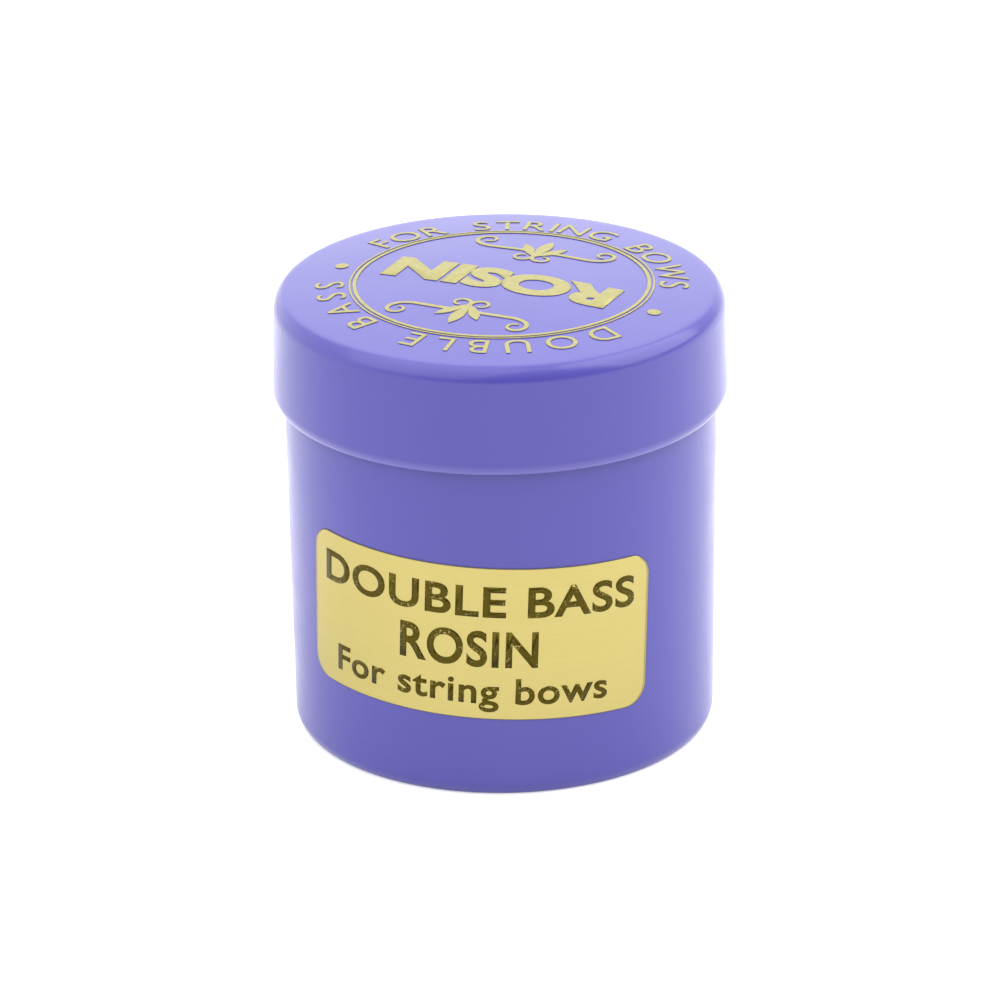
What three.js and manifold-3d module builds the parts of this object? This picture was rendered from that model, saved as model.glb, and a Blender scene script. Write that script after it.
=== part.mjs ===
// Double bass rosin in a round plastic tub with a push-on lid.
//
// Units are millimetres. +Z is up and is the axis of the tub; the origin is the centre of the
// face that the tub stands on, and -Y is the side that carries the label.
//
// From the outside in there are a tub and an over-cap lid of moulded plastic, a paper cup
// standing in the tub, and the round cake of rosin in the cup. A foil label is stuck to the tub,
// and two rings, two dots and two scrolls of stamping foil lie on the lid.

import * as THREE from "three";
import { mergeVertices } from "three/addons/utils/BufferGeometryUtils.js";
import Module from "manifold-3d";

const wasm = await Module();
wasm.setup();

const radians = THREE.MathUtils.degToRad;

// ---------------------------------------------------------------- driving dimensions

const TURN_SEGMENTS = 60; // facets round the turned pieces, which keeps their gaps even
const RING_SEGMENTS = 72; // facets round the foil rings
const LABEL_SEGMENTS = 120; // facets round the full turn that the label is cut from
const CORNER_STEPS = 3; // facets in a small rounded corner

const tub = {
  baseRadius: 22.19, // outside, just above the rounded foot
  footDepth: 0.7, // how far the foot bends inwards, and over what height
  footHeight: 1.5,
  shoulderRadius: 22.63, // outside, just under the lid
  shoulder: 36.5,
  neckRadius: 22.32, // recessed, inside the lid
  beadRadius: 22.5, // the lid snaps over this bead
  bead: 42.8,
  beadHalf: 0.7,
  rim: 46.5,
  wallFoot: 20.8, // inside radius at the floor
  wallRim: 21.05, // inside radius at the rim
  floor: 2.0,
  floorRound: 0.9,
  recessRadius: 18.9, // the hollow under the base
  recess: 0.5,
  shoulderBevel: 0.08,
};

const lid = {
  foot: 36.38, // lower edge of the skirt
  footRadius: 23.78,
  lipDepth: 0.7, // how far the lip bends inwards, and over what height
  lipHeight: 1.7,
  shoulder: 46.02, // where the skirt turns in
  shoulderRadius: 23.5,
  panelRadius: 22.68, // edge of the domed top panel
  panelEdge: 47.83,
  panelStep: 0.05, // height of the panel's edge over the rounded shoulder
  crown: 48.72, // middle of the panel
  boreRadius: 22.74, // inside the skirt
  leadIn: 0.2, // widens the bore's mouth
  ceiling: 46.85, // inside, above the tub's rim
  ceilingBevel: 0.7,
};

const cup = { radius: 20.3, wall: 0.3, floor: 2.3, bevel: 0.4, rim: 35.2 };
const cake = { radius: 19.7, floor: 2.9, top: 33.0, round: 0.8 };

const label = {
  width: 39.6, // measured round the tub's wall
  height: 17.0,
  round: 2.5,
  side: -3.64, // its centre, round the wall from the front
  centre: 17.4,
  tilt: radians(-2.3),
  gap: 0.05,
  thickness: 0.09,
  cornerSteps: 8,
  edgeSteps: 24,
};

const foil = {
  gap: 0.03,
  thickness: 0.05,
  centre: [0.27, 0],
  reading: radians(154.6), // the direction in which the lid's print reads
};
const innerRing = { inside: 15.14, outside: 15.5 };
const outerRing = { inside: 15.74, outside: 15.92 };
const dot = { radius: 0.72, ringRadius: 17.8, left: radians(160), right: radians(-29) };

const scroll = {
  out: 9.3, // from the lid's centre to the middle of the ornament
  length: 18, // along each S-shaped curve
  curl: 1.65, // curvature at the two ends of a curve, per millimetre
  ease: 1.2, // how late the curvature builds up
  lean: radians(-6),
  middle: 0.27, // half width in the middle of a curve
  tip: 0.13, // half width at its ends
  overlap: 0.1, // of the two mirrored curves, where they touch
  leaves: [
    { length: 5.2, width: 1.7, turn: 0 },
    { length: 4.3, width: 1.4, turn: radians(34) },
    { length: 4.3, width: 1.4, turn: radians(-34) },
  ],
};

// ---------------------------------------------------------------- helpers

/** Points of a rounded corner in a turned profile, between two angles in degrees. */
function rounded(centreRadius, centreHeight, radius, from, to) {
  const points = [];
  for (let i = 0; i <= CORNER_STEPS; i++) {
    const a = radians(from + ((to - from) * i) / CORNER_STEPS);
    points.push([centreRadius + radius * Math.cos(a), centreHeight + radius * Math.sin(a)]);
  }
  return points;
}

/** An arc that leaves a wall smoothly and ends some way inwards and upwards or downwards. */
function bent(wallRadius, wallHeight, inwards, upwards) {
  const turn = 2 * Math.atan(inwards / Math.abs(upwards));
  const radius = Math.abs(upwards) / Math.sin(turn);
  const points = [];
  for (let i = 0; i <= CORNER_STEPS; i++) {
    const a = (turn * i) / CORNER_STEPS;
    const height = wallHeight + Math.sign(upwards) * radius * Math.sin(a);
    points.push([wallRadius - radius * (1 - Math.cos(a)), height]);
  }
  return points;
}

/** A solid turned about +Z from [radius, height] points that run up its outside. */
function turned(points, segments = TURN_SEGMENTS) {
  const profile = points.map(([r, z]) => new THREE.Vector2(Math.max(r, 0), z));
  return new THREE.LatheGeometry(profile, segments).rotateX(Math.PI / 2);
}

/** A flat plate of a THREE.Shape that lies on the XY plane. */
function plate(shape, thickness, curveSegments = 12) {
  return new THREE.ExtrudeGeometry(shape, { depth: thickness, bevelEnabled: false, curveSegments });
}

/** A closed three.js geometry as a manifold-3d solid. */
function toSolid(geometry) {
  const bare = geometry.clone();
  bare.deleteAttribute("normal");
  bare.deleteAttribute("uv");
  const merged = mergeVertices(bare, 1e-5);
  return new wasm.Manifold(
    new wasm.Mesh({
      numProp: 3,
      vertProperties: Float32Array.from(merged.attributes.position.array),
      triVerts: Uint32Array.from(merged.index.array),
    }),
  );
}

/** A manifold-3d solid as a three.js geometry. */
function toGeometry(solid) {
  const mesh = solid.getMesh();
  const geometry = new THREE.BufferGeometry();
  geometry.setAttribute("position", new THREE.BufferAttribute(mesh.vertProperties, 3));
  geometry.setIndex(new THREE.BufferAttribute(mesh.triVerts, 1));
  geometry.computeVertexNormals();
  return geometry;
}

/** The tub's outside radius at a height below its shoulder. */
function tubRadius(z) {
  return tub.baseRadius + ((tub.shoulderRadius - tub.baseRadius) * z) / tub.shoulder;
}

/** Height of the lid's domed panel at a radius. */
function panelHeight(radius) {
  return lid.crown - (lid.crown - lid.panelEdge) * (radius / lid.panelRadius) ** 2;
}

// ---------------------------------------------------------------- moulded plastic

function tubGeometry() {
  const { footDepth, footHeight, shoulder, shoulderRadius, shoulderBevel } = tub;
  const rimMiddle = (tub.neckRadius + tub.wallRim) / 2;
  const rimHalf = (tub.neckRadius - tub.wallRim) / 2;
  const inner = tub.floorRound;
  return turned([
    [0, tub.recess],
    [tub.recessRadius - tub.recess, tub.recess],
    [tub.recessRadius, 0],
    ...bent(tubRadius(footHeight), footHeight, footDepth, -footHeight).reverse(),
    [shoulderRadius, shoulder - shoulderBevel],
    [shoulderRadius - shoulderBevel, shoulder],
    [tub.neckRadius, shoulder],
    [tub.neckRadius, tub.bead - tub.beadHalf],
    [tub.beadRadius, tub.bead],
    [tub.neckRadius, tub.bead + tub.beadHalf],
    ...rounded(rimMiddle, tub.rim - rimHalf, rimHalf, 0, 180),
    ...rounded(tub.wallFoot - inner, tub.floor + inner, inner, 0, -90),
    [0, tub.floor],
  ]);
}

function lidGeometry() {
  const { foot, lipDepth, lipHeight, shoulder, shoulderRadius, panelRadius, panelEdge } = lid;
  const bore = lid.boreRadius;
  const rise = panelEdge - lid.panelStep - shoulder;
  const dome = [1, 0.85, 0.7, 0.55, 0.4, 0.25].map((share) => {
    const radius = share * panelRadius;
    return [radius, panelHeight(radius)];
  });
  return turned([
    [0, lid.ceiling],
    [bore - lid.ceilingBevel, lid.ceiling],
    [bore, lid.ceiling - lid.ceilingBevel],
    [bore, foot + 2 * lid.leadIn],
    [bore + lid.leadIn, foot],
    ...bent(lid.footRadius, foot + lipHeight, lipDepth, -lipHeight).reverse(),
    ...bent(shoulderRadius, shoulder, shoulderRadius - panelRadius, rise),
    ...dome,
    [0, lid.crown],
  ]);
}

// ---------------------------------------------------------------- rosin and its paper cup

function cupGeometry() {
  const { radius, bevel, rim, floor: underside } = cup;
  const inside = radius - cup.wall;
  const floor = underside + cup.wall;
  return turned([
    [0, underside],
    [radius - bevel, underside],
    [radius, underside + bevel],
    [radius, rim],
    [inside, rim],
    [inside, floor + bevel],
    [inside - bevel, floor],
    [0, floor],
  ]);
}

function cakeGeometry() {
  const round = cake.round;
  return turned([
    [0, cake.floor],
    ...rounded(cake.radius - round, cake.floor + round, round, -90, 0),
    ...rounded(cake.radius - round, cake.top - round, round, 0, 90),
    [0, cake.top],
  ]);
}

// ---------------------------------------------------------------- side label

/** The outline of the flat label, with points along its long edges so that they can bend. */
function labelOutline() {
  const halfWidth = label.width / 2 - label.round;
  const halfHeight = label.height / 2 - label.round;
  const corner = (x, y, start) =>
    Array.from({ length: label.cornerSteps + 1 }, (_, i) => {
      const a = radians(start + (90 * i) / label.cornerSteps);
      return [x + label.round * Math.cos(a), y + label.round * Math.sin(a)];
    });
  const run = (from, y) =>
    Array.from({ length: label.edgeSteps - 1 }, (_, i) => [
      THREE.MathUtils.lerp(from, -from, (i + 1) / label.edgeSteps),
      y,
    ]);
  return [
    ...corner(halfWidth, halfHeight, 0),
    ...run(halfWidth, label.height / 2),
    ...corner(-halfWidth, halfHeight, 90),
    ...corner(-halfWidth, -halfHeight, 180),
    ...run(-halfWidth, -label.height / 2),
    ...corner(halfWidth, -halfHeight, 270),
  ];
}

/** The label as it looks from the front, once it is wrapped round the tub. */
function labelShape() {
  const seen = labelOutline().map(([x, y]) => {
    const along = label.side + x * Math.cos(label.tilt) - y * Math.sin(label.tilt);
    const height = label.centre + x * Math.sin(label.tilt) + y * Math.cos(label.tilt);
    const radius = tubRadius(height);
    return new THREE.Vector2(radius * Math.sin(along / radius), height);
  });
  return new THREE.Shape(seen);
}

function labelGeometry() {
  const low = label.centre - label.height;
  const high = label.centre + label.height;
  const inside = label.gap;
  const outside = label.gap + label.thickness;
  const skin = turned(
    [
      [tubRadius(low) + inside, low],
      [tubRadius(low) + outside, low],
      [tubRadius(high) + outside, high],
      [tubRadius(high) + inside, high],
      [tubRadius(low) + inside, low],
    ],
    LABEL_SEGMENTS,
  );
  const cutter = plate(labelShape(), 2 * tub.shoulderRadius).rotateX(Math.PI / 2);
  return toGeometry(toSolid(skin).intersect(toSolid(cutter)));
}

// ---------------------------------------------------------------- foil on the lid

/** Moves a flat foil geometry to its place on the lid, and bends it to the dome. */
function onLid(geometry, turn = 0, x = 0, y = 0) {
  const placed = geometry.rotateZ(turn).translate(foil.centre[0] + x, foil.centre[1] + y, 0);
  const position = placed.attributes.position;
  for (let i = 0; i < position.count; i++) {
    const radius = Math.hypot(position.getX(i), position.getY(i));
    position.setZ(i, position.getZ(i) + panelHeight(radius) + foil.gap);
  }
  return placed;
}

function ringGeometry({ inside, outside }) {
  const shape = new THREE.Shape().absarc(0, 0, outside, 0, 2 * Math.PI);
  shape.holes.push(new THREE.Path().absarc(0, 0, inside, 0, 2 * Math.PI, true));
  return plate(shape, foil.thickness, RING_SEGMENTS / 2);
}

function dotGeometry() {
  return plate(new THREE.Shape().absarc(0, 0, dot.radius, 0, 2 * Math.PI), foil.thickness, 12);
}

/** The middle line of an S-shaped scroll as {x, y, angle, out}, with out from 0 to 1 at the ends. */
function curlLine() {
  const bends = 36; // points on each half, an equal change of direction apart
  const fine = 8; // steps between two points
  const half = scroll.length / 2;
  const power = scroll.ease + 1;
  const angleAt = (t) => scroll.lean + ((scroll.curl * half) / power) * t ** power;
  const ahead = [{ x: 0, y: 0, angle: scroll.lean, out: 0 }];
  let [x, y, before] = [0, 0, 0];
  for (let i = 1; i <= bends * fine; i++) {
    const out = (i / (bends * fine)) ** (1 / power);
    const angle = angleAt((before + out) / 2);
    x += (out - before) * half * Math.cos(angle);
    y += (out - before) * half * Math.sin(angle);
    before = out;
    if (i % fine === 0) ahead.push({ x, y, angle: angleAt(out), out });
  }
  const behind = ahead.slice(1).map((p) => ({ ...p, x: -p.x, y: -p.y }));
  return [...behind.reverse(), ...ahead];
}

/** A ribbon along a middle line, widest in the middle of the line. */
function ribbonShape(line) {
  const edge = (side) => ({ x, y, angle, out }) => {
    const width = side * THREE.MathUtils.lerp(scroll.middle, scroll.tip, out ** 2);
    return new THREE.Vector2(x - width * Math.sin(angle), y + width * Math.cos(angle));
  };
  return new THREE.Shape([...line.map(edge(-1)), ...line.map(edge(1)).reverse()]);
}

/** A pointed leaf that grows from the origin along +Y. */
function leafShape({ length, width }) {
  const shape = new THREE.Shape();
  shape.moveTo(0, 0);
  shape.bezierCurveTo(width * 0.2, length * 0.3, width * 0.8, length * 0.6, 0, length);
  shape.bezierCurveTo(-width * 0.8, length * 0.6, -width * 0.2, length * 0.3, 0, 0);
  return shape;
}

/** Two mirrored curls that touch, with three leaves growing from where they touch. */
function scrollGeometry() {
  const line = curlLine();
  const foot = line.reduce((best, p) => (p.x < best.x ? p : best));
  const shift = scroll.tip - scroll.overlap - foot.x;
  const right = toSolid(plate(ribbonShape(line), foil.thickness)).translate([shift, 0, 0]);
  let ornament = right.add(right.mirror([1, 0, 0]));
  for (const leaf of scroll.leaves) {
    const blade = plate(leafShape(leaf), foil.thickness).rotateZ(leaf.turn);
    ornament = ornament.add(toSolid(blade.translate(0, foot.y, 0)));
  }
  return toGeometry(ornament);
}

// ---------------------------------------------------------------- materials and assembly

function material(color, roughness, metalness) {
  return new THREE.MeshStandardMaterial({ color, roughness, metalness });
}

const materials = {
  plastic: material(0x6e67c4, 0.4, 0),
  rosin: material(0x8a4a12, 0.3, 0),
  paper: material(0xeee6d2, 0.85, 0),
  label: material(0xd8c77c, 0.35, 0.7),
  foil: material(0xdcd490, 0.4, 0.5),
};

const rosin = new THREE.Group();

function addPiece(name, geometry, finish) {
  const mesh = new THREE.Mesh(geometry, finish);
  mesh.name = name;
  rosin.add(mesh);
}

addPiece("tub", tubGeometry(), materials.plastic);
addPiece("lid", lidGeometry(), materials.plastic);
addPiece("paper_cup", cupGeometry(), materials.paper);
addPiece("rosin_cake", cakeGeometry(), materials.rosin);
addPiece("side_label", labelGeometry(), materials.label);
addPiece("foil_ring_inner", onLid(ringGeometry(innerRing)), materials.foil);
addPiece("foil_ring_outer", onLid(ringGeometry(outerRing)), materials.foil);
for (const side of ["left", "right"]) {
  const x = dot.ringRadius * Math.cos(dot[side]);
  const y = dot.ringRadius * Math.sin(dot[side]);
  addPiece(`foil_dot_${side}`, onLid(dotGeometry(), 0, x, y), materials.foil);
}
const scrollTurns = { front: foil.reading, back: foil.reading + Math.PI };
for (const [side, turn] of Object.entries(scrollTurns)) {
  const x = -scroll.out * Math.sin(turn);
  const y = scroll.out * Math.cos(turn);
  addPiece(`foil_scroll_${side}`, onLid(scrollGeometry(), turn, x, y), materials.foil);
}

export default rosin;
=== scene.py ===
"""Looks of a bow rosin tub: plastic tub and lid, foil label, stamped print, paper cup and rosin.

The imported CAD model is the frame. Everything here is in metres, in the frame's axes: +Z is up
along the tub, and -Y is the side with the label.
"""

import math

import bmesh
import bpy
from mathutils import Matrix, Vector, noise


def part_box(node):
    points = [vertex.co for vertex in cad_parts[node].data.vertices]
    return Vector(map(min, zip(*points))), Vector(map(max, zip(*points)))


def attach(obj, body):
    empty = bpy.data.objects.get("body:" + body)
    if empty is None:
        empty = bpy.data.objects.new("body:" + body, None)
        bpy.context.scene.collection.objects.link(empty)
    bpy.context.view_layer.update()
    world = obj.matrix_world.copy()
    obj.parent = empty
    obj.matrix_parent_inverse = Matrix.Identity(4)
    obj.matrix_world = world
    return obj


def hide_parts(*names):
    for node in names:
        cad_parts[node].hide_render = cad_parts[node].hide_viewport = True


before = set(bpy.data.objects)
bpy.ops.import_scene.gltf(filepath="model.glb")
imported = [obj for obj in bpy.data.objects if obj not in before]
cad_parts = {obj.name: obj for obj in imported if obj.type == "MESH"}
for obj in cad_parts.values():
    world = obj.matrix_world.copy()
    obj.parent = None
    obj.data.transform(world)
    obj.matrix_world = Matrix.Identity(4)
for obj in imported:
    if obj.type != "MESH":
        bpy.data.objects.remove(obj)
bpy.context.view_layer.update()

MM = 0.001
TURN_STEPS = 240  # quads round a turned surface
BEND_STEPS = 16  # straight pieces in a wall's rounded end
SHARP = 40  # degrees between two faces above which their edge is drawn sharp
ON_AXIS = 1e-7  # a profile point nearer to the axis than this, in metres, lies on it

# ---------------------------------------------------------------- driving dimensions

_, TUB_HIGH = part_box("tub")
LID_LOW, LID_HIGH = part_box("lid")
CUP_LOW, CUP_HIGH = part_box("paper_cup")
CAKE_LOW, CAKE_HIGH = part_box("rosin_cake")
RING_LOW, RING_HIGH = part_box("foil_ring_outer")

TUB_BASE_RADIUS = 22.19 * MM
FOOT_DEPTH = 0.7 * MM  # how far the rounded foot draws in
FOOT_HEIGHT = 1.5 * MM
RECESS_RADIUS = 18.9 * MM
RECESS = 0.5 * MM  # how deep the base is hollowed
SHOULDER_RADIUS = TUB_HIGH.x
SHOULDER = 36.5 * MM  # where the tub steps in to the neck that the lid covers
NECK_RADIUS = 22.32 * MM
BEAD_RADIUS = 22.5 * MM
BEAD = 42.8 * MM  # height of the middle of the snap bead
BEAD_HALF = 0.8 * MM
RIM = TUB_HIGH.z
WALL_FOOT = 20.8 * MM  # inside radius at the floor
WALL_RIM = 21.05 * MM  # inside radius at the rim
FLOOR = 2.0 * MM

LID_FOOT = LID_LOW.z
LID_FOOT_RADIUS = LID_HIGH.x
LIP_DEPTH = 0.45 * MM  # how far the skirt's lower edge draws in
LIP_HEIGHT = 1.3 * MM
LID_SHOULDER = 46.02 * MM
LID_SHOULDER_RADIUS = 23.5 * MM
PANEL_RADIUS = 22.68 * MM
PANEL_EDGE = 47.83 * MM
PANEL_STEP = 0.05 * MM  # the small step round the top panel
CROWN = LID_HIGH.z
BORE_RADIUS = 22.74 * MM
CEILING = 46.85 * MM

LABEL_WIDTH = 39.6 * MM
LABEL_HEIGHT = 17.0 * MM
LABEL_ROUND = 2.5 * MM  # radius of its corners
LABEL_SIDE = -3.64 * MM  # how far its middle lies round the tub from -Y
LABEL_CENTRE = 17.4 * MM
LABEL_TILT = math.radians(-2.3)
LABEL_LIFT = 0.02 * MM  # between the tub and the label
BACKING_THICKNESS = 0.05 * MM
FOIL_THICKNESS = 0.03 * MM
EDGE_LINE = 0.09 * MM  # how much of the backing shows round the foil, as a dark line of painted edge shadow with some dirt
LABEL_SPACING = 1.07  # the room for each letter, against the font's own

FONT_CAPITAL = 0.682  # capital height of the built-in font at size 1
LETTER_CURVE_STEPS = 6
LETTER_WELD = 1e-5  # in the font's units
INK_LIFT = 0.012 * MM  # between the label's face and the ink on it
INK_THICKNESS = 0.02 * MM
LETTER_SLICE = 0.6 * MM  # how finely lettering is cut so that it can bend

PRINT_CENTRE = ((RING_LOW + RING_HIGH) / 2).xy
PRINT_GAP = 0.03 * MM  # between the lid and its print, as the CAD foil has it
PRINT_THICKNESS = 0.05 * MM
READING = math.radians(154.6)  # the direction in which the lid's print reads
RING_BASELINE = 16.4 * MM
RING_CAPITAL = 3.0 * MM
RING_SPACE = 2.0 * MM  # width of a word space in the ring of lettering
WORD_WIDTH = 25.5 * MM
WORD_CAPITAL = 5.6 * MM


def arc(centre_r, centre_z, radius, start, end, steps=8):
    """Points of a rounded corner in a profile, between two angles in degrees."""
    angles = [math.radians(start + (end - start) * i / steps) for i in range(steps + 1)]
    return [(centre_r + radius * math.cos(a), centre_z + radius * math.sin(a)) for a in angles]


def bent(wall_radius, wall_height, inwards, upwards):
    """An arc that leaves a wall smoothly and ends some way inwards and upwards or downwards."""
    turn = 2 * math.atan(inwards / abs(upwards))
    radius = abs(upwards) / math.sin(turn)
    points = []
    for i in range(BEND_STEPS + 1):
        a = turn * i / BEND_STEPS
        height = wall_height + math.copysign(radius * math.sin(a), upwards)
        points.append((wall_radius - radius * (1 - math.cos(a)), height))
    return points


def tub_radius(z):
    """The tub's outside radius at a height below its shoulder."""
    return TUB_BASE_RADIUS + (SHOULDER_RADIUS - TUB_BASE_RADIUS) * z / SHOULDER


def panel_height(radius):
    """Height of the lid's domed panel at a radius."""
    return CROWN - (CROWN - PANEL_EDGE) * (radius / PANEL_RADIUS) ** 2


# ---------------------------------------------------------------- mesh helpers


def new_object(name, mesh):
    made = bpy.data.objects.new(name, mesh)
    bpy.context.scene.collection.objects.link(made)
    return made


def mesh_object(name, vertices, faces, sharp=SHARP):
    """A smooth-shaded mesh whose edges are sharp above an angle in degrees."""
    mesh = bpy.data.meshes.new(name)
    mesh.from_pydata(vertices, [], faces)
    mesh.validate()
    work = bmesh.new()
    work.from_mesh(mesh)
    bmesh.ops.recalc_face_normals(work, faces=work.faces)
    work.to_mesh(mesh)
    work.free()
    mesh.shade_smooth()
    mesh.set_sharp_from_angle(angle=math.radians(sharp))
    return new_object(name, mesh)


def turned(name, profile, steps=TURN_STEPS, sharp=SHARP, shape=None):
    """A surface turned about +Z. A profile from the axis to the axis closes it.

    shape(radius, height, angle) may move each point that isn't on the axis.
    """
    vertices = []
    rows = []
    for radius, height in profile:
        if radius < ON_AXIS:
            rows.append([len(vertices)])
            vertices.append((0.0, 0.0, height))
            continue
        rows.append(list(range(len(vertices), len(vertices) + steps)))
        for i in range(steps):
            angle = math.tau * i / steps
            r, z = shape(radius, height, angle) if shape else (radius, height)
            vertices.append((r * math.cos(angle), r * math.sin(angle), z))
    faces = []
    for low, high in zip(rows, rows[1:]):
        for i in range(steps):
            j = (i + 1) % steps
            if len(low) == 1:
                faces.append((low[0], high[j], high[i]))
            elif len(high) == 1:
                faces.append((low[i], low[j], high[0]))
            else:
                faces.append((low[i], low[j], high[j], high[i]))
    return mesh_object(name, vertices, faces, sharp)


def divided(start, end, parts):
    """Profile points between two points, without the first and with the last."""
    (r0, z0), (r1, z1) = start, end
    return [(r0 + (r1 - r0) * i / parts, z0 + (z1 - z0) * i / parts) for i in range(1, parts + 1)]


def text_mesh(body, bold=0.0, spacing=1.0):
    """Flat lettering as a bmesh, in the font's own units. bold widens each stroke on both sides."""
    curve = bpy.data.curves.new("lettering", "FONT")
    curve.body = body
    curve.offset = bold
    curve.space_character = spacing
    curve.resolution_u = LETTER_CURVE_STEPS
    holder = new_object("lettering", curve)
    bpy.context.view_layer.update()
    evaluated = holder.evaluated_get(bpy.context.evaluated_depsgraph_get())
    mesh = bpy.data.meshes.new_from_object(evaluated)
    work = bmesh.new()
    work.from_mesh(mesh)
    bmesh.ops.remove_doubles(work, verts=work.verts, dist=LETTER_WELD)
    bpy.data.objects.remove(holder)
    bpy.data.curves.remove(curve)
    bpy.data.meshes.remove(mesh)
    return work


def side_edges(work):
    """The lowest and the highest x of a bmesh."""
    across = [v.co.x for v in work.verts]
    return min(across), max(across)


def fit_text(work, width, capital, bold):
    """Scales lettering to a width and a capital height, centred on the origin."""
    left, right = side_edges(work)
    for v in work.verts:
        v.co.x = (v.co.x - (left + right) / 2) * width / (right - left)
        v.co.y = (v.co.y - FONT_CAPITAL / 2) * capital / (FONT_CAPITAL + 2 * bold)


def slice_across(work, step):
    """Cuts flat faces along evenly spaced lines of constant x, so that they can bend."""
    left, right = side_edges(work)
    for i in range(1, math.ceil((right - left) / step)):
        everything = work.verts[:] + work.edges[:] + work.faces[:]
        bmesh.ops.bisect_plane(
            work, geom=everything, plane_co=(left + i * step, 0, 0), plane_no=(1, 0, 0)
        )


def film(name, work, thickness, body):
    """A bmesh sheet as a thin piece that grows outwards along its normals."""
    mesh = bpy.data.meshes.new(name)
    work.to_mesh(mesh)
    work.free()
    made = new_object(name, mesh)
    solid = made.modifiers.new("thickness", "SOLIDIFY")
    solid.thickness = thickness
    solid.offset = 1.0
    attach(made, body)
    return made


# ---------------------------------------------------------------- material helpers


def node(tree, kind, inputs=None, **settings):
    """A shader node with its settings, and its inputs set to values or linked to outputs."""
    made = tree.nodes.new(kind)
    for name, value in settings.items():
        setattr(made, name, value)
    for name, value in (inputs or {}).items():
        if isinstance(value, bpy.types.NodeSocket):
            tree.links.new(value, made.inputs[name])
        else:
            made.inputs[name].default_value = value
    return made


def new_material(name, **shader_inputs):
    """A material with one Principled shader, and the tree and shader to add to."""
    made = bpy.data.materials.new(name)
    made.use_nodes = True
    tree = made.node_tree
    shader = tree.nodes["Principled BSDF"]
    for key, value in shader_inputs.items():
        shader.inputs[key.replace("_", " ")].default_value = value
    return made, tree, shader


def object_space(tree, scale=(1, 1, 1)):
    """Object coordinates in metres, stretched."""
    where = node(tree, "ShaderNodeTexCoord")
    mapping = node(tree, "ShaderNodeMapping", {"Vector": where.outputs["Object"]})
    mapping.inputs["Scale"].default_value = scale
    return mapping.outputs["Vector"]


def label_space(tree, scale):
    """The label's own flat coordinates in metres, stretched."""
    where = node(tree, "ShaderNodeUVMap", uv_map="flat")
    mapping = node(tree, "ShaderNodeMapping", {"Vector": where.outputs["UV"]})
    mapping.inputs["Scale"].default_value = scale
    return mapping.outputs["Vector"]


def noise_value(tree, vector, scale, detail=2.0, roughness=0.5):
    made = node(
        tree,
        "ShaderNodeTexNoise",
        {"Vector": vector, "Scale": scale, "Detail": detail, "Roughness": roughness},
    )
    return made.outputs["Fac"]


def remap(tree, value, low, high, to_low, to_high):
    """A value scaled from one range to another and held inside it."""
    made = node(
        tree,
        "ShaderNodeMapRange",
        {"Value": value, "From Min": low, "From Max": high, "To Min": to_low, "To Max": to_high},
    )
    return made.outputs["Result"]


def mix_color(tree, factor, first, second):
    made = node(tree, "ShaderNodeMix", data_type="RGBA")
    for name, value in (("Factor", factor), ("A", first), ("B", second)):
        socket = [i for i in made.inputs if i.name == name and i.enabled][0]
        if isinstance(value, bpy.types.NodeSocket):
            tree.links.new(value, socket)
        else:
            socket.default_value = value
    return [o for o in made.outputs if o.enabled][0]


def bump(tree, height, distance):
    """A normal for a surface whose height, from 0 to 1, stands for a distance in metres."""
    inputs = {"Height": height, "Distance": distance, "Strength": BUMP_STRENGTH}
    return node(tree, "ShaderNodeBump", inputs).outputs["Normal"]


# ---------------------------------------------------------------- materials

VIOLET = (0.0488, 0.0411, 0.2505, 1)
VIOLET_PALE = (0.0527, 0.0445, 0.262, 1)
# painted highlight colour: light shining through the lid's thin lower edge
VIOLET_PAINTED_HIGHLIGHT = (0.1, 0.085, 0.335, 1)
LABEL_GOLD = (0.438, 0.367, 0.133, 1)
LABEL_GOLD_DEEP = (0.405, 0.34, 0.12, 1)
# painted shadow along the label's edge, mixed with dirt from its adhesive
EDGE_SHADOW_DIRT = (0.06, 0.05, 0.045, 1)
EDGE_SHADOW_DIRT_PALE = (0.1, 0.085, 0.07, 1)
INK = (0.060, 0.045, 0.006, 1)
INK_THIN = (0.085, 0.064, 0.010, 1)
DUST = (0.02, 0.017, 0.05, 1)
PRINT_GOLD = (0.345, 0.316, 0.135, 1)
PRINT_GOLD_DEEP = (0.31, 0.284, 0.121, 1)
AMBER = (0.19, 0.062, 0.009, 1)
AMBER_DEEP = (0.085, 0.022, 0.003, 1)
ROSIN_POWDER = (0.42, 0.33, 0.22, 1)
PAPER_PALE = (0.43, 0.405, 0.335, 1)
PAPER_DEEP = (0.36, 0.33, 0.26, 1)
TABLE_PALE = (0.62, 0.62, 0.62, 1)
TABLE_DEEP = (0.6, 0.6, 0.6, 1)
TABLE_GLOW = 0.38

BUMP_STRENGTH = 0.5


def painted_lip_highlight(tree, space):
    """1 along the outside of the lid's lower edge, where a painted highlight stands for light
    shining through the thin plastic, and 0 elsewhere.

    The tub, which has the same plastic, is too narrow to be part of it.
    """
    flat = object_space(tree, (1, 1, 0))
    radius = node(tree, "ShaderNodeVectorMath", {0: flat}, operation="LENGTH").outputs["Value"]
    outside = remap(tree, radius, LID_FOOT_RADIUS - 0.7 * MM, LID_FOOT_RADIUS - 0.6 * MM, 0, 1)
    height = node(tree, "ShaderNodeSeparateXYZ", {"Vector": space}).outputs["Z"]
    low = remap(tree, height, LID_FOOT + 0.2 * MM, LID_FOOT + 1.1 * MM, 1, 0)
    return node(tree, "ShaderNodeMath", {0: outside, 1: low}, operation="MULTIPLY").outputs[0]


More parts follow.
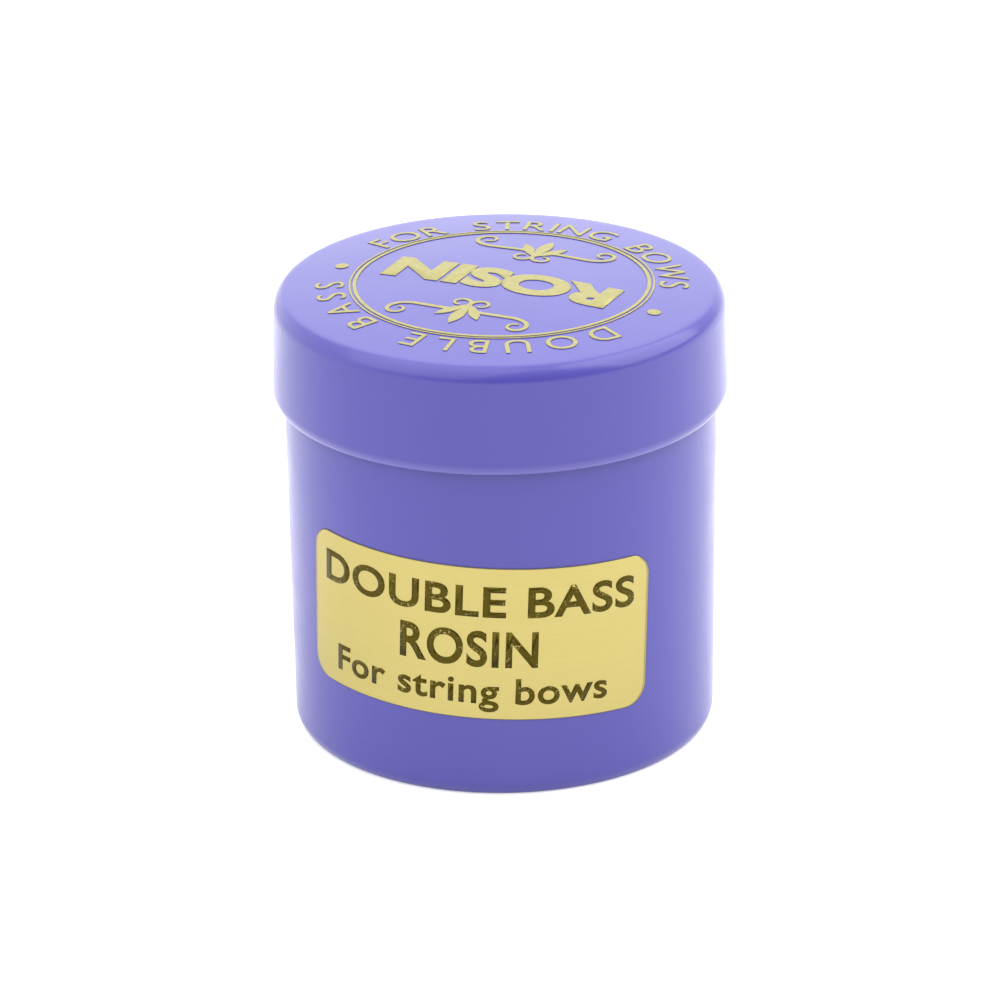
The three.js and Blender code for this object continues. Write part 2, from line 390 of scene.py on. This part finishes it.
def violet_plastic():
    """Moulded polypropylene: fairly glossy, with a fine grain and patches rubbed duller.

    There are faint specks of dust in it, and a painted highlight along the lid's lower edge stands
    for light shining through the thin plastic.
    """
    made, tree, shader = new_material("violet_plastic", IOR=1.49)
    space = object_space(tree)
    flow = noise_value(tree, object_space(tree, (1, 1, 0.35)), 70, 3)
    color = mix_color(tree, remap(tree, flow, 0.35, 0.65, 0, 1), VIOLET, VIOLET_PALE)
    cells = node(tree, "ShaderNodeTexVoronoi", {"Vector": space, "Scale": 230, "Randomness": 1})
    draw = node(tree, "ShaderNodeSeparateColor", {"Color": cells.outputs["Color"]})
    chosen = remap(tree, draw.outputs["Red"], 0.7, 0.72, 0, 0.6)
    near = remap(tree, cells.outputs["Distance"], 0.03, 0.055, 1, 0)
    dust = node(tree, "ShaderNodeMath", {0: chosen, 1: near}, operation="MULTIPLY").outputs[0]
    color = mix_color(tree, dust, color, DUST)
    # painted highlight along the lid's lower edge, for light shining through the thin plastic
    color = mix_color(tree, painted_lip_highlight(tree, space), color, VIOLET_PAINTED_HIGHLIGHT)
    tree.links.new(color, shader.inputs["Base Color"])
    handling = noise_value(tree, space, 190, 4)
    tree.links.new(remap(tree, handling, 0.3, 0.7, 0.2, 0.265), shader.inputs["Roughness"])
    grain = noise_value(tree, space, 2600, 2)
    tree.links.new(bump(tree, grain, 0.003 * MM), shader.inputs["Normal"])
    return made


def brushing(tree):
    """The fine lines that run along the label."""
    return noise_value(tree, label_space(tree, (45, 11000, 1)), 1, 4, 0.75)


def label_foil():
    """Brushed gold foil, with fine lines along the label and faint handling marks."""
    made, tree, shader = new_material("label_foil", Metallic=1.0)
    lines = brushing(tree)
    marks = noise_value(tree, label_space(tree, (1, 1, 1)), 420, 4, 0.6)
    color = mix_color(tree, remap(tree, lines, 0.3, 0.7, 0, 1), LABEL_GOLD_DEEP, LABEL_GOLD)
    color = mix_color(tree, remap(tree, marks, 0.6, 0.75, 0, 0.25), color, LABEL_GOLD_DEEP)
    tree.links.new(color, shader.inputs["Base Color"])
    tree.links.new(remap(tree, marks, 0.3, 0.7, 0.28, 0.34), shader.inputs["Roughness"])
    tree.links.new(bump(tree, lines, 0.0015 * MM), shader.inputs["Normal"])
    return made


def label_ink():
    """Dark ink printed on the foil: thin along some of the brushing, with pinholes in places."""
    made, tree, shader = new_material("label_ink", Metallic=1.0, Roughness=0.32)
    streaks = remap(tree, brushing(tree), 0.45, 0.7, 0, 1)
    color = mix_color(tree, streaks, INK, INK_THIN)
    pin = noise_value(tree, label_space(tree, (1, 1, 1)), 4200, 2, 0.6)
    where = noise_value(tree, label_space(tree, (1, 1.6, 1)), 330, 2, 0.6)
    lost = node(
        tree,
        "ShaderNodeMath",
        {0: remap(tree, pin, 0.56, 0.66, 0, 1), 1: remap(tree, where, 0.5, 0.66, 0, 1)},
        operation="MULTIPLY",
    )
    color = mix_color(tree, lost.outputs[0], color, LABEL_GOLD_DEEP)
    tree.links.new(color, shader.inputs["Base Color"])
    return made


def shade_and_dirt_backing():
    """The label's cut edge: a dark line of painted shadow along it, with dirt that its adhesive has
    caught.
    """
    made, tree, shader = new_material("shade_and_dirt_backing", Roughness=0.6)
    dirt_and_shade_mottle = noise_value(tree, object_space(tree), 1300, 3)
    color = mix_color(tree, remap(tree, dirt_and_shade_mottle, 0.3, 0.7, 0, 1), EDGE_SHADOW_DIRT, EDGE_SHADOW_DIRT_PALE)
    tree.links.new(color, shader.inputs["Base Color"])
    return made


def print_foil():
    """Hot-stamped foil: flat pale gold, slightly mottled by the plastic's grain under it."""
    made, tree, shader = new_material("print_foil", Metallic=0.7)
    mottle = noise_value(tree, object_space(tree), 1500, 3, 0.6)
    color = mix_color(tree, remap(tree, mottle, 0.35, 0.65, 0, 1), PRINT_GOLD_DEEP, PRINT_GOLD)
    tree.links.new(color, shader.inputs["Base Color"])
    tree.links.new(remap(tree, mottle, 0.3, 0.7, 0.62, 0.52), shader.inputs["Roughness"])
    return made


def rosin_resin():
    """Amber rosin: dark, cloudy and glossy, with a pale powdery bloom in patches."""
    made, tree, shader = new_material("rosin_resin", IOR=1.54, Coat_Weight=0.4, Coat_Roughness=0.08)
    space = object_space(tree)
    cloud = noise_value(tree, space, 130, 4, 0.6)
    amber = mix_color(tree, remap(tree, cloud, 0.3, 0.7, 0, 1), AMBER_DEEP, AMBER)
    dust = noise_value(tree, space, 900, 5, 0.7)
    powder = remap(tree, dust, 0.5, 0.72, 0.0, 0.3)
    color = mix_color(tree, powder, amber, ROSIN_POWDER)
    tree.links.new(color, shader.inputs["Base Color"])
    tree.links.new(remap(tree, dust, 0.4, 0.7, 0.12, 0.5), shader.inputs["Roughness"])
    tree.links.new(bump(tree, cloud, 0.05 * MM), shader.inputs["Normal"])
    return made


def waxed_paper():
    """Thin waxed paper, with a faint fibre and a slight sheen."""
    made, tree, shader = new_material("waxed_paper", Sheen_Weight=0.1)
    space = object_space(tree)
    fibre = noise_value(tree, object_space(tree, (1, 1, 0.3)), 1500, 4, 0.65)
    blotch = noise_value(tree, space, 160, 3)
    color = mix_color(tree, remap(tree, blotch, 0.3, 0.7, 0, 1), PAPER_DEEP, PAPER_PALE)
    tree.links.new(color, shader.inputs["Base Color"])
    tree.links.new(remap(tree, fibre, 0.3, 0.7, 0.42, 0.62), shader.inputs["Roughness"])
    tree.links.new(bump(tree, fibre, 0.02 * MM), shader.inputs["Normal"])
    return made


def studio_floor():
    """A light table: a pale surface that also glows, so that there is hardly a shadow."""
    made, tree, shader = new_material("studio_floor", Roughness=0.9, Emission_Strength=TABLE_GLOW)
    shade = noise_value(tree, object_space(tree), 9, 2)
    share = remap(tree, shade, 0.3, 0.7, 0, 1)
    color = mix_color(tree, share, TABLE_DEEP, TABLE_PALE)
    tree.links.new(color, shader.inputs["Base Color"])
    shader.inputs["Emission Color"].default_value = (1, 1, 1, 1)
    return made


PLASTIC = violet_plastic()
LABEL = label_foil()
LABEL_INK = label_ink()
SHADE_AND_DIRT_BACKING = shade_and_dirt_backing()
FOIL = print_foil()
ROSIN = rosin_resin()
PAPER = waxed_paper()


def finish_piece(made, surface, slot, body, *nodes):
    """Gives a piece its material, the body it rides on and the CAD nodes it replaces. slot is not
    used.
    """
    made.data.materials.append(surface)
    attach(made, body)
    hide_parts(*nodes)
    return made


# ---------------------------------------------------------------- tub and lid


def tub_profile():
    """From the middle of the base, up the outside, over the rim and down to the inside floor."""
    rim_middle = (NECK_RADIUS + WALL_RIM) / 2
    rim_half = (NECK_RADIUS - WALL_RIM) / 2
    floor_round = 0.9 * MM
    shoulder_round = 0.1 * MM
    neck_round = 0.06 * MM
    middle = 2.6 * MM  # radius of the first row of quads round the nub
    gate = 0.9 * MM  # the moulding gate's nub in the middle of the base
    gate_face = RECESS - 0.22 * MM
    points = [(0, gate_face), (gate - 0.2 * MM, gate_face), (gate, gate_face + 0.1 * MM)]
    points += [(gate, RECESS), (middle, RECESS)]
    points += divided(points[-1], (RECESS_RADIUS - 0.8 * MM, RECESS), 6)
    points += [(RECESS_RADIUS - 0.45 * MM, RECESS - 0.06 * MM)]
    points += [(RECESS_RADIUS - 0.1 * MM, 0.06 * MM), (RECESS_RADIUS + 0.08 * MM, 0)]
    foot = bent(tub_radius(FOOT_HEIGHT), FOOT_HEIGHT, FOOT_DEPTH, -FOOT_HEIGHT)[::-1]
    points += [(foot[0][0] - 0.06 * MM, 0)] + foot[1:]
    points += divided(points[-1], (SHOULDER_RADIUS, SHOULDER - shoulder_round), 24)
    turn_r, turn_z = SHOULDER_RADIUS - shoulder_round, SHOULDER - shoulder_round
    points += arc(turn_r, turn_z, shoulder_round, 0, 90, 4)[1:]
    points += [(NECK_RADIUS + neck_round, SHOULDER), (NECK_RADIUS, SHOULDER + neck_round)]
    points += divided(points[-1], (NECK_RADIUS, BEAD - BEAD_HALF), 6)
    bead_rows = 12
    for i in range(1, bead_rows):
        rise = 2 * i / bead_rows - 1
        bulge = (math.cos(math.pi * rise) + 1) / 2
        bulged = NECK_RADIUS + (BEAD_RADIUS - NECK_RADIUS) * bulge
        points.append((bulged, BEAD + rise * BEAD_HALF))
    points += [(NECK_RADIUS, BEAD + BEAD_HALF)]
    points += arc(rim_middle, RIM - rim_half, rim_half, 0, 180, 12)
    points += divided(points[-1], (WALL_FOOT, FLOOR + floor_round), 20)
    points += arc(WALL_FOOT - floor_round, FLOOR + floor_round, floor_round, 0, -90)[1:]
    points += divided(points[-1], (1.5 * MM, FLOOR), 6)
    return points + [(0, FLOOR)]


def lid_profile():
    """From the middle of the inside, down the bore, round the lip, up and over the top panel."""
    gate = 0.85 * MM  # radius of the moulding gate's nub
    nub = 0.15 * MM
    corner = 0.5 * MM
    lead_in = 0.2 * MM
    points = [(0, CEILING - nub), (gate - nub, CEILING - nub), (gate, CEILING)]
    points += divided(points[-1], (BORE_RADIUS - corner - 0.4 * MM, CEILING), 8)
    points += arc(BORE_RADIUS - corner, CEILING - corner, corner, 90, 0, 6)
    points += divided(points[-1], (BORE_RADIUS, LID_FOOT + 2 * lead_in), 10)
    points += [(BORE_RADIUS + lead_in / 3, LID_FOOT + lead_in), (BORE_RADIUS + lead_in, LID_FOOT)]
    lip = bent(LID_FOOT_RADIUS, LID_FOOT + LIP_HEIGHT, LIP_DEPTH, -LIP_HEIGHT)[::-1]
    points += [(lip[0][0] - 0.04 * MM, LID_FOOT)] + lip[1:]
    points += divided(points[-1], (LID_SHOULDER_RADIUS, LID_SHOULDER), 12)
    turn_in = LID_SHOULDER_RADIUS - PANEL_RADIUS
    turn_up = PANEL_EDGE - PANEL_STEP - LID_SHOULDER
    points += bent(LID_SHOULDER_RADIUS, LID_SHOULDER, turn_in, turn_up)[1:]
    points += [(PANEL_RADIUS - 0.04 * MM, PANEL_EDGE - PANEL_STEP / 2)]
    panel_rows = 48
    for i in range(panel_rows - 1, 0, -1):
        r = PANEL_RADIUS * i / panel_rows
        points.append((r, panel_height(r)))
    return points + [(0, CROWN)]


finish_piece(turned("tub_shell", tub_profile()), PLASTIC, "tub_plastic", "tub", "tub")
finish_piece(turned("lid_shell", lid_profile()), PLASTIC, "lid_plastic", "lid", "lid")


# ---------------------------------------------------------------- side label


def on_tub(x, y, lift):
    """A point of the flat label, wrapped round the tub and lifted off it."""
    along = LABEL_SIDE + x * math.cos(LABEL_TILT) - y * math.sin(LABEL_TILT)
    height = LABEL_CENTRE + x * math.sin(LABEL_TILT) + y * math.cos(LABEL_TILT)
    angle = along / tub_radius(height)
    radius = tub_radius(height) + lift
    return Vector((radius * math.sin(angle), -radius * math.cos(angle), height))


def wrap_on_tub(work, lift):
    """Wraps a flat bmesh round the tub, keeping its flat places as a UV map."""
    flat = work.loops.layers.uv.new("flat")
    for face in work.faces:
        for loop in face.loops:
            loop[flat].uv = loop.vert.co.xy
    for v in work.verts:
        v.co = on_tub(v.co.x, v.co.y, lift)


def label_sheet(inset):
    """The flat label, cut smaller all round by an inset. Its rows are shorter in the corners."""
    straight_rows = 10  # above the middle, and as many below it
    corner_rows = 12
    half = 40  # quads from the middle of a row to its end
    round_r = LABEL_ROUND - inset
    straight_x = LABEL_WIDTH / 2 - LABEL_ROUND
    straight_y = LABEL_HEIGHT / 2 - LABEL_ROUND
    heights = [straight_y * i / straight_rows for i in range(-straight_rows, straight_rows + 1)]
    for i in range(1, corner_rows + 1):
        heights.append(straight_y + round_r * math.sin(math.pi / 2 * i / corner_rows))
        heights.insert(0, -heights[-1])
    work = bmesh.new()
    rows = []
    for y in heights:
        over = max(abs(y) - straight_y, 0)
        reach = straight_x + math.sqrt(max(round_r**2 - over**2, 0))
        rows.append([work.verts.new((reach * i / half, y, 0)) for i in range(-half, half + 1)])
    for low, high in zip(rows, rows[1:]):
        for i in range(2 * half):
            work.faces.new((low[i], low[i + 1], high[i + 1], high[i]))
    return work


def add_label():
    """The foil, on a backing that shows as a thin dark line round it: painted edge shadow, with
    some dirt.
    """
    for name, inset, lift, thickness, surface in (
        # the backing is a dark sheet of painted edge shadow, with some dirt
        ("shade_and_dirt_backing", 0, LABEL_LIFT, BACKING_THICKNESS, SHADE_AND_DIRT_BACKING),
        ("label_sheet", EDGE_LINE, LABEL_LIFT + BACKING_THICKNESS, FOIL_THICKNESS, LABEL),
    ):
        work = label_sheet(inset)
        wrap_on_tub(work, lift)
        sheet = film(name, work, thickness, "tub")
        sheet.data.materials.append(surface)
        sheet.data.shade_smooth()
        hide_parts("side_label")


def add_label_line(name, body, width, capital, x, y, bold):
    """A line of lettering printed on the label, centred on x and y of the flat label."""
    work = text_mesh(body, bold, LABEL_SPACING)
    fit_text(work, width, capital, bold)
    slice_across(work, LETTER_SLICE)
    for v in work.verts:
        v.co += Vector((x, y, 0))
    wrap_on_tub(work, LABEL_LIFT + BACKING_THICKNESS + FOIL_THICKNESS + INK_LIFT)
    line = film(name, work, INK_THICKNESS, "tub")
    line.data.materials.append(LABEL_INK)


add_label()
for name, body, width, capital, x, y, bold in (
    ("label_line_upper", "DOUBLE BASS", 35.5, 3.4, 0.1, 4.7, 0.022),
    ("label_line_middle", "ROSIN", 14.6, 4.0, -0.1, -0.6, 0.024),
    ("label_line_lower", "For string bows", 30.5, 2.9, -0.4, -5.3, 0.018),
):
    add_label_line(name, body, width * MM, capital * MM, x * MM, y * MM, bold)


# ---------------------------------------------------------------- print on the lid


def turn_onto_lid(work, right, up, origin):
    """Lays a flat bmesh on the domed lid, its x and y along two directions."""
    slice_across(work, LETTER_SLICE)
    for v in work.verts:
        flat = origin + right * v.co.x + up * v.co.y
        v.co = (flat.x, flat.y, panel_height(flat.length) + PRINT_GAP)


def add_ring_text(name, body, start, end):
    """Lettering round the lid, clockwise between two angles in degrees, its tops outwards."""
    middle = RING_BASELINE + RING_CAPITAL / 2
    letters = []
    for character in body:
        if character == " ":
            letters.append((None, RING_SPACE))
            continue
        glyph = text_mesh(character)
        left, right = side_edges(glyph)
        width = (right - left) * RING_CAPITAL / FONT_CAPITAL
        fit_text(glyph, width, RING_CAPITAL, 0)
        letters.append((glyph, width))
    room = middle * math.radians(start - end) - sum(width for _, width in letters)
    gap = room / (len(letters) - 1)
    whole = bmesh.new()
    along = 0.0
    for glyph, width in letters:
        angle = math.radians(start) - (along + width / 2) / middle
        along += width + gap
        if glyph is None:
            continue
        up = Vector((math.cos(angle), math.sin(angle)))
        right = Vector((math.sin(angle), -math.cos(angle)))
        turn_onto_lid(glyph, right, up, PRINT_CENTRE + up * middle)
        part = bpy.data.meshes.new("glyph")
        glyph.to_mesh(part)
        glyph.free()
        whole.from_mesh(part)
        bpy.data.meshes.remove(part)
    made = film(name, whole, PRINT_THICKNESS, "lid")
    made.data.materials.append(FOIL)


def add_word():
    """The large word across the middle of the lid."""
    bold = 0.055
    work = text_mesh("ROSIN", bold)
    fit_text(work, WORD_WIDTH, WORD_CAPITAL, bold)
    right = Vector((math.cos(READING), math.sin(READING)))
    up = Vector((-right.y, right.x))
    turn_onto_lid(work, right, up, PRINT_CENTRE)
    made = film("print_word", work, PRINT_THICKNESS, "lid")
    made.data.materials.append(FOIL)


add_ring_text("print_arc_back", "FOR STRING BOWS", 137, -5)
add_ring_text("print_arc_front", "DOUBLE BASS", -51, -184)
add_word()
for name, cad_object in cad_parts.items():
    if name.startswith("foil_"):
        cad_object.data.materials.clear()
        cad_object.data.materials.append(FOIL)


# ---------------------------------------------------------------- paper cup and rosin


def add_cup():
    """The cup's wall is one sheet of paper, pleated all round, with a soft uneven rim."""
    pleats = 66
    pleat_depth = 0.17 * MM
    rim_drop = 0.35 * MM  # how far the rim's mean height lies under the CAD cup's
    rim_wave = 0.3 * MM
    floor_round = 1.2 * MM
    paper = 0.12 * MM
    wall = CUP_HIGH.x - paper
    low = CUP_LOW.z + paper

    def pleat(radius, height, angle):
        rise = min(max((height - low) / (CUP_HIGH.z - low), 0), 1)
        depth = pleat_depth * min(rise * 6, 1)
        fold = abs((angle * pleats / math.tau) % 1 - 0.5) * 2
        edge = noise.noise((math.cos(angle) * 3, math.sin(angle) * 3, 2.0)) * rim_wave
        share = radius / wall
        return radius - depth * fold * share**8, height + edge * rise**4

    points = [(0, low)] + divided((0, low), (wall - floor_round, low), 8)
    points += arc(wall - floor_round, low + floor_round, floor_round, -90, 0)[1:]
    points += divided(points[-1], (wall, CUP_HIGH.z - rim_drop), 24)
    made = turned("cup_paper", points, pleats * 8, 180, pleat)
    solid = made.modifiers.new("thickness", "SOLIDIFY")
    solid.thickness = paper
    solid.offset = 0.0
    finish_piece(made, PAPER, "paper", "cake", "paper_cup")


def add_cake():
    """Rosin as it set in the mould: a rounded edge, and a top that sags a little to the middle."""
    radius = CAKE_HIGH.x
    low = CAKE_LOW.z
    top = CAKE_HIGH.z
    edge = 0.8 * MM
    deepest = 0.35 * MM
    sag_rows = 24
    fine = 160  # turns metres into the noise's own units

    def uneven(r, z, angle):
        ripple = noise.noise((r * math.cos(angle) * fine, r * math.sin(angle) * fine, z * fine))
        return r, z + ripple * 0.05 * MM * (z > (low + top) / 2)

    points = [(0, low)] + arc(radius - edge, low + edge, edge, -90, 0)
    points += divided(points[-1], (radius, top - edge), 8)
    points += arc(radius - edge, top - edge, edge, 0, 90)[1:]
    for i in range(1, sag_rows):
        r = (radius - edge) * (1 - i / sag_rows)
        sag = deepest * (1 - (r / (radius - edge)) ** 4)
        points.append((r, top - sag))
    points.append((0, top - deepest))
    made = turned("cake_body", points, TURN_STEPS, 60, uneven)
    finish_piece(made, ROSIN, "rosin", "cake", "rosin_cake")


add_cup()
add_cake()


# ---------------------------------------------------------------- floor, light and camera

TENT_LEFT = 2.2
TENT_RIGHT = 0.6
TENT_FRONT = 0.2
TENT_BACK = 2.45
TENT_TOP = 2.75
BOX_AIM = Vector((0, 0, 20 * MM))  # what the softboxes point at


def add_floor():
    half = 1.5  # metres
    corners = [(-half, -half, 0), (half, -half, 0), (half, half, 0), (-half, half, 0)]
    made = mesh_object("floor", corners, [(0, 1, 2, 3)])
    made.data.materials.append(studio_floor())


def add_world():
    """A soft white tent, with a brightness of its own for each wall and the ceiling.

    In each direction it is the mean of the three sides faced, weighted by the squares of x, y, z.
    """
    sides = (
        ("X", TENT_LEFT, TENT_RIGHT),
        ("Y", TENT_FRONT, TENT_BACK),
        ("Z", 0, TENT_TOP),
    )
    world = bpy.data.worlds.new("tent")
    bpy.context.scene.world = world
    world.use_nodes = True
    tree = world.node_tree
    tree.nodes.clear()
    where = node(tree, "ShaderNodeTexCoord")
    axes = node(tree, "ShaderNodeSeparateXYZ", {"Vector": where.outputs["Generated"]})
    total = None
    for axis, low, high in sides:
        towards = axes.outputs[axis]
        square = node(tree, "ShaderNodeMath", {0: towards, 1: towards}, operation="MULTIPLY")
        wall = remap(tree, towards, -0.001, 0.001, low, high)
        inputs = {0: square.outputs[0], 1: wall, 2: 0.0 if total is None else total}
        total = node(tree, "ShaderNodeMath", inputs, operation="MULTIPLY_ADD").outputs[0]
    background = node(tree, "ShaderNodeBackground", {"Strength": total})
    output = node(tree, "ShaderNodeOutputWorld")
    tree.links.new(background.outputs[0], output.inputs["Surface"])


def add_softbox(name, size, energy, place):
    """A square softbox that the camera doesn't see."""
    data = bpy.data.lights.new(name, "AREA")
    data.shape = "SQUARE"
    data.size = size
    data.energy = energy
    made = new_object(name, data)
    made.location = place
    aim = BOX_AIM - made.location
    made.rotation_euler = aim.to_track_quat("-Z", "Y").to_euler()
    made.visible_camera = False


def add_softboxes():
    """A softbox at the right, and a larger one at the front left. Both are above the tub."""
    add_softbox("softbox_right", size=0.6, energy=3.5, place=(0.42, -0.02, 0.36))
    add_softbox("softbox_front", size=0.85, energy=2.8, place=(-0.3, -0.28, 0.5))


def add_camera():
    """A long lens in front of the tub and above it, so that the lid's top can be seen."""
    lens = 220.2
    distance = 644.8 * MM
    elevation = math.radians(22.65)
    roll = -0.013
    aim = Vector((0, 0, 23.5 * MM))
    data = bpy.data.cameras.new("camera")
    data.sensor_width = 36
    data.lens = lens
    data.clip_start = 0.01
    data.shift_x = -0.0021
    data.shift_y = 0.0041
    made = new_object("camera", data)
    made.location = aim + distance * Vector((0, -math.cos(elevation), math.sin(elevation)))
    turn = Matrix.Rotation(math.pi / 2 - elevation, 4, "X") @ Matrix.Rotation(roll, 4, "Z")
    made.rotation_euler = turn.to_euler()
    bpy.context.scene.camera = made


add_floor()
add_world()
add_softboxes()
add_camera()
bpy.context.scene.view_settings.view_transform = "Standard"
